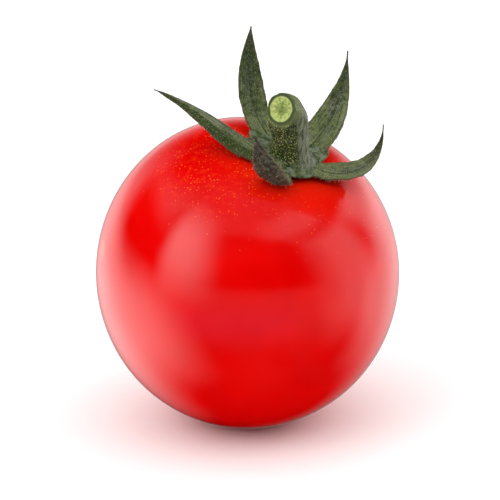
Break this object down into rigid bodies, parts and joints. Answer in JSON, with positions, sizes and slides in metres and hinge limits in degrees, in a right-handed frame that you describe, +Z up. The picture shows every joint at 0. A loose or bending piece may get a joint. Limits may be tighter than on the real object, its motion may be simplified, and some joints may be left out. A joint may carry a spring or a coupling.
{
  "type": "cherry tomato with calyx and cut stalk",
  "caption": "Ripe round cherry tomato with a green calyx of curling sepals and a short bent cut stalk, resting on a small flat spot.",
  "frame": {"origin": "middle of the small flat spot on the fruit's underside that it rests on", "axes": "+Z up from the resting surface; the stem end leans about 25 degrees towards -Y and +X; +X right and +Y away from a viewer who faces the front sepal"},
  "size_m": [0.032, 0.032, 0.0424],
  "materials": {
    "skin": "smooth glossy deep red tomato skin with tiny golden specks near the stem end",
    "calyx": "matt grey-green plant tissue with a pale bloom",
    "stalk": "matt dark green stem stippled with yellow-green dots, pale green pith at the cut",
    "sepal": "matt dark grey-green leaf with lengthwise veins, fine pale hairs and brown tips"
  },
  "bodies": {
    "root": {"fruit": "skin", "calyx_disc": "calyx", "stalk": "stalk", "sepal_left": "sepal", "sepal_back_left": "sepal", "sepal_back_right": "sepal", "sepal_right": "sepal", "sepal_front": "sepal"}
  },
  "joints": []
}
